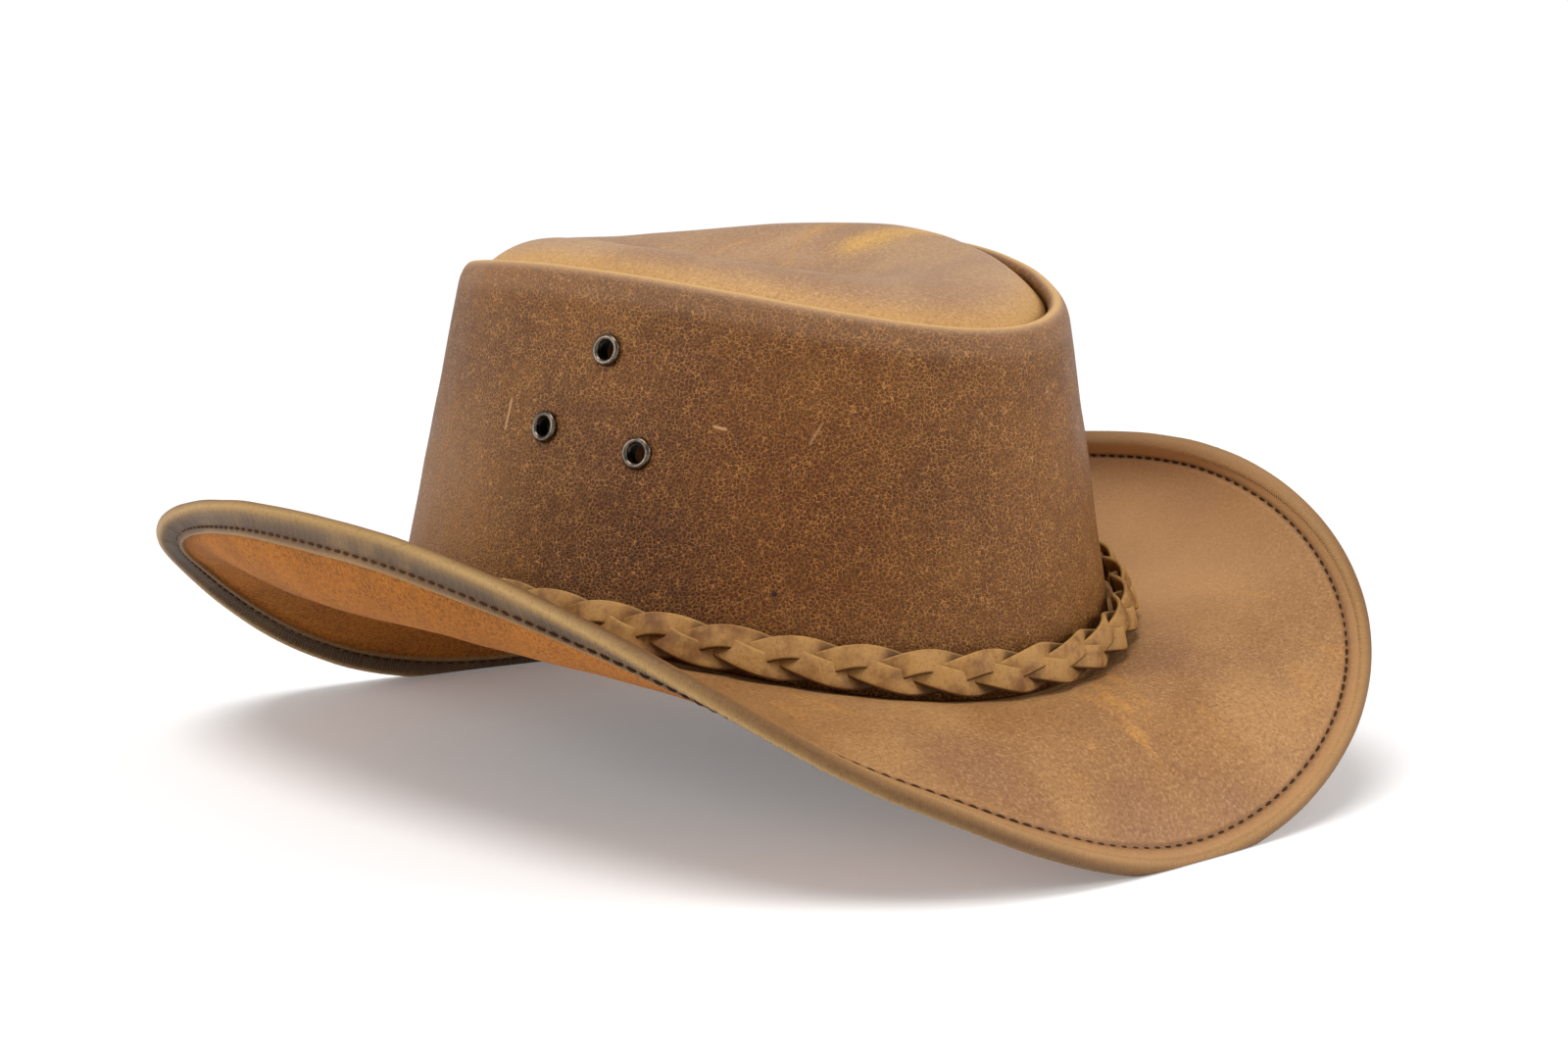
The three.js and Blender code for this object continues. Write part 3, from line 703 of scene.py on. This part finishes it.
def brim_leather():
    leather = Finish("brim_leather")
    smoke = leather.clouds(0.055, 4, 0.55, twist=0.5)
    plum = leather.clouds(0.04, 3, 0.5, moved=(0.3, 0.1, 0.2))
    streaks = leather.clouds(0.034, 5, 0.62, stretch=(1.5, 0.5, 1.0), twist=1.4)
    fine = leather.clouds(0.0009, 4, 0.7)
    grain = leather.cells(0.0013)
    top = leather.blend(leather.between(smoke, 0.34, 0.66), BRIM_BROWN, BRIM_TAN)
    top = leather.blend(leather.between(plum, 0.48, 0.72) * 0.7, top, BRIM_PLUM)
    top = leather.blend(leather.between(streaks, 0.56, 0.74) * 0.6, top, BRIM_GOLD)
    top = leather.blend(leather.between(fine, 0.5, 0.66) * 0.42, top, BRIM_DARK_SPECK_AND_SHADE)
    top = leather.blend(leather.between(fine, 0.48, 0.34) * 0.35, top, BRIM_LIGHT)
    edge = leather.layer("from_edge")
    # Painted highlight on the bead's crest, and painted shade on its outer side and in the hollow inside it.
    rolled_edge_shading = leather.ramp(edge * 100, EDGE_ABOVE_SHADING)
    top = leather.blend(leather.between(edge, 0.0035, 0.0095, 0.8, 0.0), top, rolled_edge_shading)
    # Painted light: a paler patch on the brim's curled lobe where the crown shades it.
    painted_light_patch = leather.between(leather.away(BRIM_PAINTED_LIGHT_SPOT), 0.02, 0.08, 0.55, 0.0)
    top = leather.blend(painted_light_patch, top, BRIM_PAINTED_LIGHT)
    from_line = leather.node("ShaderNodeMath", {"operation": "ABSOLUTE"}, {0: edge - STITCH_LINE})
    # Painted shade: darker along the stitch groove, on the top and on the turned hem.
    groove_shade = leather.between(from_line, 0.0003, 0.0012, 0.45, 0.0)
    top = leather.blend(groove_shade, top, BRIM_DARK_SPECK_AND_SHADE)
    nap = leather.clouds(0.0009, 4, 0.8)
    brushed = leather.clouds(0.03, 3, 0.5)
    suede = leather.blend(leather.between(brushed, 0.3, 0.7, 0.35, 0.75), SUEDE_BROWN, SUEDE_ORANGE)
    suede = leather.blend(leather.between(nap, 0.5, 0.62) * 0.5, suede, SUEDE_ORANGE)
    suede = leather.blend(leather.between(nap, 0.5, 0.38) * 0.75, suede, SUEDE_BROWN)
    chart = leather.node("ShaderNodeUVMap", {"uv_map": "UVMap"}, {})
    along = leather.node("ShaderNodeSeparateXYZ", {}, {0: chart})
    phase = along * (2 * math.pi / PLEAT_PITCH) + leather.clouds(0.006, 2, 0.5) * 3.0
    pleats = leather.node("ShaderNodeMath", {"operation": "SINE"}, {0: phase}) * 0.5 + 0.5
    strength = leather.between(leather.layer("tight"), 0.25, 0.9, 0.08, 1.0)
    strength = strength * leather.between(edge, 0.0012, 0.0036, 0.12, 1.0)
    # Painted highlight on the hem's bead and painted shade in the hollow towards the stitches; real rubbing,
    # grain and pleats are added below.
    hem_tone_and_shade = leather.ramp(edge * 100, EDGE_BELOW_SHADING)
    rubbed = leather.between(leather.clouds(0.012, 4, 0.6), 0.45, 0.68)
    hem_tone_and_shade = leather.blend(rubbed * 0.3, hem_tone_and_shade, HEM_TAN)
    hem_tone_and_shade = leather.blend(leather.between(fine, 0.48, 0.7) * 0.35, hem_tone_and_shade, BRIM_DARK_SPECK_AND_SHADE)
    # Painted shade in the hem's pleat creases, stronger where the edge bends tight.
    hem_tone_and_shade = leather.blend(pleats * strength * 0.7, hem_tone_and_shade, HEM_PLEAT_SHADE)
    hem_tone_and_shade = leather.blend(leather.between(edge, HEM_SHOWN - 0.0012, HEM_SHOWN) * 0.7, hem_tone_and_shade, HEM_TAN)
    under = leather.layer("under")
    hem = leather.layer("hem")
    below = leather.blend(hem, suede, leather.blend(groove_shade, hem_tone_and_shade, BRIM_DARK_SPECK_AND_SHADE))
    colour = leather.blend(under, top, below)
    matt = under * (1 - hem)
    gloss = leather.between(smoke, 0.3, 0.7, 0.40, 0.5) + fine * 0.12 + matt * 0.35
    soft = leather.relief(grain, 0.00007)
    creased = leather.relief(pleats * hem * strength, 0.0004, soft)
    rough = leather.relief(fine + nap * matt * 1.5, 0.00016, creased)
    return leather.finish(Base_Color=colour, Roughness=gloss, Normal=rough, Specular_IOR_Level=0.25)


brim.data.materials.append(brim_leather())
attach(brim, "root")
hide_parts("brim")

# The hem's seam is lockstitched with dark brown waxed thread, so short dashes show on the top and on
# the turned hem below, pulled a little into the leather.
STITCH_PITCH = 0.0036
STITCH_LENGTH = 0.0026
THREAD_RADIUS = 0.0003
THREAD_SIDES = 6
THREAD_BENDS = 5
THREAD_SWELL = np.array([0.55, 1, 1.05, 1, 0.55])
THREAD_DARK = paint(40, 22, 8)
THREAD_BROWN = paint(76, 48, 20)


def stitches(name, below):
    count = round(edge_length / STITCH_PITCH)
    parts, faces = [], []
    for number in range(count):
        middle = (number + 0.5) / count * edge_length
        stops = middle + STITCH_LENGTH * np.linspace(-0.5, 0.5, THREAD_BENDS)
        turn = np.interp(stops, np.append(edge_run, edge_length), np.append(angles, 2 * np.pi))
        line = brim_width(turn) - STITCH_LINE
        arch = THREAD_RADIUS * (np.cos(np.linspace(-1.2, 1.2, THREAD_BENDS)) * 1.3 - 0.7)
        seat = (hem_face if below else half) - GROOVE_DEPTH
        height = (seat + arch) * (-1 if below else 1)
        middle_line = brim_point(turn, line, height)
        up_line = unit(brim_point(turn, line, height + 0.001) - middle_line)
        travel = unit(np.gradient(middle_line, axis=0))
        side_line = np.cross(up_line, travel)
        base = len(parts) * THREAD_SIDES * THREAD_BENDS
        spins = around(THREAD_SIDES)
        sideways = np.cos(spins)[None, :, None] * side_line[:, None] * 1.15
        upright = np.sin(spins)[None, :, None] * up_line[:, None]
        ring = middle_line[:, None] + THREAD_RADIUS * THREAD_SWELL[:, None, None] * (sideways + upright)
        parts.append(ring.reshape(-1, 3))
        for bend in range(THREAD_BENDS - 1):
            for spin in range(THREAD_SIDES):
                other = (spin + 1) % THREAD_SIDES
                a, b = base + bend * THREAD_SIDES + spin, base + bend * THREAD_SIDES + other
                faces.append((a, b, b + THREAD_SIDES, a + THREAD_SIDES))
        faces.append(tuple(base + spin for spin in reversed(range(THREAD_SIDES))))
        last = base + (THREAD_BENDS - 1) * THREAD_SIDES
        faces.append(tuple(last + spin for spin in range(THREAD_SIDES)))
    mesh = bpy.data.meshes.new(name)
    points = np.concatenate(parts)
    mesh.from_pydata(stand(points), [], faces)
    mesh.polygons.foreach_set("use_smooth", [True] * len(mesh.polygons))
    mesh.update()
    piece = bpy.data.objects.new(name, mesh)
    bpy.context.collection.objects.link(piece)
    return piece


def thread():
    waxed = Finish("waxed_thread")
    twist = waxed.clouds(0.0004, 2, 0.6)
    colour = waxed.blend(twist, THREAD_DARK, THREAD_BROWN)
    return waxed.finish(Base_Color=colour, Roughness=0.7, Specular_IOR_Level=0.15,
                        Normal=waxed.relief(twist, 0.0001))


thread_finish = thread()
for name, below in (("hem_stitches_top", False), ("hem_stitches_under", True)):
    seam = stitches(name, below)
    seam.data.materials.append(thread_finish)
    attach(seam, "root")

# The band is a flat plait of three tan leather laces that lies round the foot of the crown. Each lace is a
# strip cut from the same hide, waxed on its face and raw on its edges; its colour carries painted shade along
# its lower edge and where it dives under the next lace, and a painted highlight along its upper edge.
LACE_WIDTH = 0.0057
LACE_THICKNESS = 0.0014
LACE_SWING = 0.0026
LACE_DIVE = 0.0018
LACE_ROLL = math.radians(9)
PLAIT_INWARD = 0.0010
# The room that the plait's middle line leaves for itself between the brim and the crown.
ROOM_WIDTH = 0.0051
ROOM_THICKNESS = 0.0017
ROOM_TILT = math.radians(45)
BRAID_REACH = 0.0039
BRAID_LIFT = 0.0019
BRAID_TURNS = 13
BRAID_LEAN = math.radians(14)
LACE_STEPS = 48
LACE_SIDES = 14


def braid_frame(angle):
    """The plait's middle line, and its directions across the band and out of its face."""
    half_band = BRAID_REACH + ROOM_WIDTH / 2
    depth = BRAID_LIFT + ROOM_THICKNESS / 2 + ROOM_WIDTH / 2 * math.sin(ROOM_TILT / 2)
    upward = unit(rim_point(angle) - seam_point(angle))
    out = outward(angle)
    travel = unit(level(-SEAM_WIDTH * np.sin(angle), SEAM_LENGTH * np.cos(angle), 0))
    across = unit(upward * math.cos(BRAID_LEAN) - out * math.sin(BRAID_LEAN))
    face = unit(np.cross(travel, across))
    seat = brim_point(angle, 2 * depth * np.ones_like(angle), half * np.ones_like(angle))
    rise = np.maximum(0, seat[..., 2] - seam_point(angle)[..., 2]) + SEAM_GAP
    middle = up_crown(angle, half_band * math.cos(BRAID_LEAN) + rise, 0 * angle)
    middle = middle + out * (depth + SEAM_GAP + half_band * math.sin(BRAID_LEAN))
    return middle, across, face


fine = around(1440)
line = braid_frame(fine)[0]
steps = np.linalg.norm(np.roll(line, -1, axis=0) - line, axis=-1)
reached = np.concatenate([[0], np.cumsum(steps)])
count = BRAID_TURNS * LACE_STEPS
even = np.interp(np.arange(count) / count * reached[-1], reached, np.append(fine, 2 * np.pi))


def lace_rings(phase):
    middle, across, face = braid_frame(even)
    wave = 2 * np.pi * np.arange(count) / LACE_STEPS + phase
    swung = across * column(LACE_SWING * np.sin(wave))
    dived = face * column(LACE_DIVE * np.sin(2 * wave) - PLAIT_INWARD)
    centre = middle + swung + dived
    travel = unit(np.roll(centre, -1, axis=0) - np.roll(centre, 1, axis=0))
    broad = unit(across - travel * column((across * travel).sum(-1)))
    tilt = column(LACE_ROLL * np.cos(3 * wave))
    thick = np.cross(travel, broad)
    broad, thick = broad * np.cos(tilt) + thick * np.sin(tilt), thick * np.cos(tilt) - broad * np.sin(tilt)
    spins = around(LACE_SIDES)
    flat = np.sign(np.cos(spins)) * np.abs(np.cos(spins)) ** 0.45 * LACE_WIDTH / 2
    high = np.sign(np.sin(spins)) * np.abs(np.sin(spins)) ** 0.75 * LACE_THICKNESS / 2
    rings = centre[:, None] + broad[:, None] * flat[None, :, None] - thick[:, None] * high[None, :, None]
    edge = np.broadcast_to(flat / (LACE_WIDTH / 2), rings.shape[:2])
    return rings, edge, np.repeat((0.5 - 0.5 * np.sin(2 * wave))[:, None], LACE_SIDES, axis=1)


LACE_TAN = paint(164, 121, 66)
LACE_BROWN = paint(116, 75, 36)
LACE_SHADE = paint(66, 38, 16)
LACE_HIGHLIGHT = paint(186, 140, 78)


def lace_leather():
    leather = Finish("lace_leather")
    stain = leather.clouds(0.007, 4, 0.6)
    fine = leather.clouds(0.0008, 4, 0.7)
    colour = leather.blend(leather.between(stain, 0.3, 0.6), LACE_BROWN, LACE_TAN)
    # Painted shade where each lace dives under the next.
    colour = leather.blend(leather.between(leather.layer("tucked_shade"), 0.72, 1.0) * 0.75, colour, LACE_SHADE)
    # Painted shade along each lace's lower edge.
    colour = leather.blend(leather.between(leather.layer("edge"), -0.78, -0.95) * 0.9, colour, LACE_SHADE)
    # Painted highlight along each lace's upper edge.
    colour = leather.blend(leather.between(leather.layer("edge"), 0.8, 1.0) * 0.6, colour, LACE_HIGHLIGHT)
    colour = leather.blend(leather.between(fine, 0.5, 0.66) * 0.45, colour, LACE_BROWN)
    gloss = leather.between(stain, 0.3, 0.7, 0.46, 0.58) + fine * 0.1
    return leather.finish(Base_Color=colour, Roughness=gloss, Normal=leather.relief(fine, 0.00015),
                          Specular_IOR_Level=0.25)


lace_finish = lace_leather()
for index, letter in enumerate("abc"):
    rings, edge, tucked_shade = lace_rings(2 * np.pi * index / 3)
    lace = formed_leather(f"plait_lace_{letter}", stand(rings), {"edge": edge, "tucked_shade": tucked_shade})
    lace.data.materials.append(lace_finish)
    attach(lace, "root")
    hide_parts(f"band_lace_{letter}")

# Each eyelet is a small round ring of dark antique metal, pressed through the crown: a rolled flange outside
# with a bright inner lip, a barrel through the leather, and a flat flange inside. The barrel's inside is
# painted near black, painted shade.
BARREL_RADIUS = 0.0029
HOLE_RADIUS = 0.0022
FLANGE_RADIUS = 0.0035
LIP_REACH = 0.0030
LIP_RADIUS = 0.0008
LIP_HEIGHT = 0.0003
EYELET_TURNS = 40
METAL_DARK = paint(84, 75, 66)
METAL_BRIGHT = paint(112, 100, 87)
METAL_HOLE_SHADE = paint(14, 12, 10)


def pressed_ring():
    """One eyelet, upright at the origin: its closed section, spun round the vertical."""
    back = -CROWN_WALL - 0.0006
    lip = [(LIP_REACH + LIP_RADIUS * math.cos(bend), LIP_HEIGHT + LIP_RADIUS * math.sin(bend))
           for bend in np.radians(np.linspace(-20, 190, 22))]
    barrel = [(HOLE_RADIUS, height) for height in np.linspace(-0.0002, back - 0.0003, 8)]
    section_line = [(BARREL_RADIUS, back), (BARREL_RADIUS, 0.00002), (FLANGE_RADIUS, 0.00002), *lip, *barrel,
                    (0.0026, back - 0.0008), (0.0028, back - 0.0009), (FLANGE_RADIUS, back - 0.0009),
                    (FLANGE_RADIUS, back - 0.0001)]
    count = len(section_line)
    mesh = bpy.data.meshes.new("pressed_ring")
    mesh.from_pydata([(radius, 0, height) for radius, height in section_line],
                     [(i, (i + 1) % count) for i in range(count)], [])
    ring = bpy.data.objects.new("pressed_ring", mesh)
    bpy.context.collection.objects.link(ring)
    bpy.ops.object.select_all(action="DESELECT")
    ring.select_set(True)
    bpy.context.view_layer.objects.active = ring
    bpy.ops.object.mode_set(mode="EDIT")
    bpy.ops.mesh.select_all(action="SELECT")
    bpy.ops.mesh.spin(steps=EYELET_TURNS, angle=2 * math.pi, center=(0, 0, 0), axis=(0, 0, 1))
    bpy.ops.mesh.select_all(action="SELECT")
    bpy.ops.mesh.remove_doubles(threshold=0.000005)
    bpy.ops.mesh.normals_make_consistent(inside=False)
    bpy.ops.object.mode_set(mode="OBJECT")
    bpy.ops.object.shade_smooth_by_angle(angle=math.radians(50))
    # Painted shade: how far down the barrel a point lies, for darkening the hole.
    depth = mesh.attributes.new("hole_shade", "FLOAT", "POINT")
    for corner in mesh.vertices:
        depth.data[corner.index].value = min(1.0, max(0.0, (0.0001 - corner.co.z) / 0.0008))
    return ring


def eyelet_metal():
    metal = Finish("antique_metal")
    tarnish = metal.clouds(0.0012, 4, 0.65)
    colour = metal.blend(metal.between(tarnish, 0.36, 0.66), METAL_DARK, METAL_BRIGHT)
    # Painted shade: near black down inside the barrel.
    colour = metal.blend(metal.layer("hole_shade"), colour, METAL_HOLE_SHADE)
    gloss = metal.between(tarnish, 0.3, 0.7, 0.22, 0.34) + metal.layer("hole_shade") * 0.4
    return metal.finish(Base_Color=colour, Roughness=gloss, Metallic=1.0,
                        Normal=metal.relief(tarnish, 0.000006))


metal_finish = eyelet_metal()
first_ring = pressed_ring()
for name, place, out in eyelet_places():
    eyelet = bpy.data.objects.new(f"{name}_ring", first_ring.data.copy())
    bpy.context.collection.objects.link(eyelet)
    turn = out.to_track_quat("Z", "Y").to_matrix().to_4x4()
    eyelet.data.transform(Matrix.Translation(place + out * SEAM_GAP) @ turn)
    eyelet.data.materials.append(metal_finish)
    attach(eyelet, "root")
    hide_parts(name)
bpy.data.objects.remove(first_ring)

# The studio: a plain pale floor, a large soft light overhead, softer ones at the sides and a pale
# surrounding, and a camera at the height of a low table in front of the hat's right side.
bpy.ops.object.select_all(action="DESELECT")
bpy.ops.mesh.primitive_circle_add(vertices=96, radius=2.5, fill_type="NGON", location=(0, 0, -0.0002))
floor = bpy.context.object
floor.name = "floor"
bpy.ops.object.transform_apply(location=True)
bpy.ops.object.mode_set(mode="EDIT")
bpy.ops.mesh.select_mode(type="EDGE")
for reach, climb in ((1.4, 0.05), (1.286, 0.17), (1.222, 0.38), (1.182, 0.7), (1.077, 0.7)):
    bpy.ops.mesh.extrude_edges_move(TRANSFORM_OT_translate={"value": (0, 0, climb)})
    bpy.ops.transform.resize(value=(reach, reach, 1), center_override=(0, 0, 0))
bpy.ops.mesh.select_all(action="SELECT")
bpy.ops.mesh.normals_make_consistent(inside=False)
bpy.ops.object.mode_set(mode="OBJECT")
bpy.ops.object.shade_smooth()
paper = Finish("pale_paper")
floor.data.materials.append(paper.finish(Base_Color=(0.88, 0.88, 0.88, 1), Roughness=0.95,
                                         Specular_IOR_Level=0.1, Emission_Color=(1, 1, 1, 1),
                                         Emission_Strength=0.12))

world = bpy.data.worlds.new("studio")
bpy.context.scene.world = world
world.use_nodes = True
world.node_tree.nodes["Background"].inputs["Color"].default_value = (1.0, 1.0, 1.0, 1)
world.node_tree.nodes["Background"].inputs["Strength"].default_value = 0.44
bpy.context.scene.view_settings.view_transform = "Standard"

CAMERA_PLACE = Vector((0.52405, 0.58618, 0.17715))
CAMERA_AIM = Vector((-0.00936, 0.01042, 0.06028))
CAMERA_LENS = 71.93
CAMERA_ROLL = math.radians(-1.238)


def soft_light(name, place, size, watts, aim=(0, 0, 0.07)):
    lamp = bpy.data.lights.new(name, "AREA")
    lamp.shape, lamp.size, lamp.energy = "DISK", size, watts
    light = bpy.data.objects.new(name, lamp)
    bpy.context.collection.objects.link(light)
    light.location = place
    light.rotation_euler = (Vector(place) - Vector(aim)).to_track_quat("Z", "Y").to_euler()
    return light


soft_light("left_softbox", (1.2, -0.5, 0.6), 0.6, 6)
soft_light("right_softbox", (-0.58, 1.1, 0.6), 0.6, 7)
sun = bpy.data.lights.new("overhead_key", "SUN")
sun.energy, sun.angle = 1.7, math.radians(30)
key = bpy.data.objects.new("overhead_key", sun)
bpy.context.collection.objects.link(key)
key.rotation_euler = Vector((0.35, 0.1, 1.0)).to_track_quat("Z", "Y").to_euler()

camera_data = bpy.data.cameras.new("camera")
camera = bpy.data.objects.new("camera", camera_data)
bpy.context.collection.objects.link(camera)
camera_data.lens, camera_data.sensor_width = CAMERA_LENS, 36
back = (CAMERA_PLACE - CAMERA_AIM).normalized()
level_right = Vector((-back.y, back.x, 0)).normalized()
level_up = back.cross(level_right)
right = level_right * math.cos(CAMERA_ROLL) + level_up * math.sin(CAMERA_ROLL)
above = back.cross(right)
camera.matrix_world = Matrix.Translation(CAMERA_PLACE) @ Matrix((right, above, back)).transposed().to_4x4()
bpy.context.scene.camera = camera
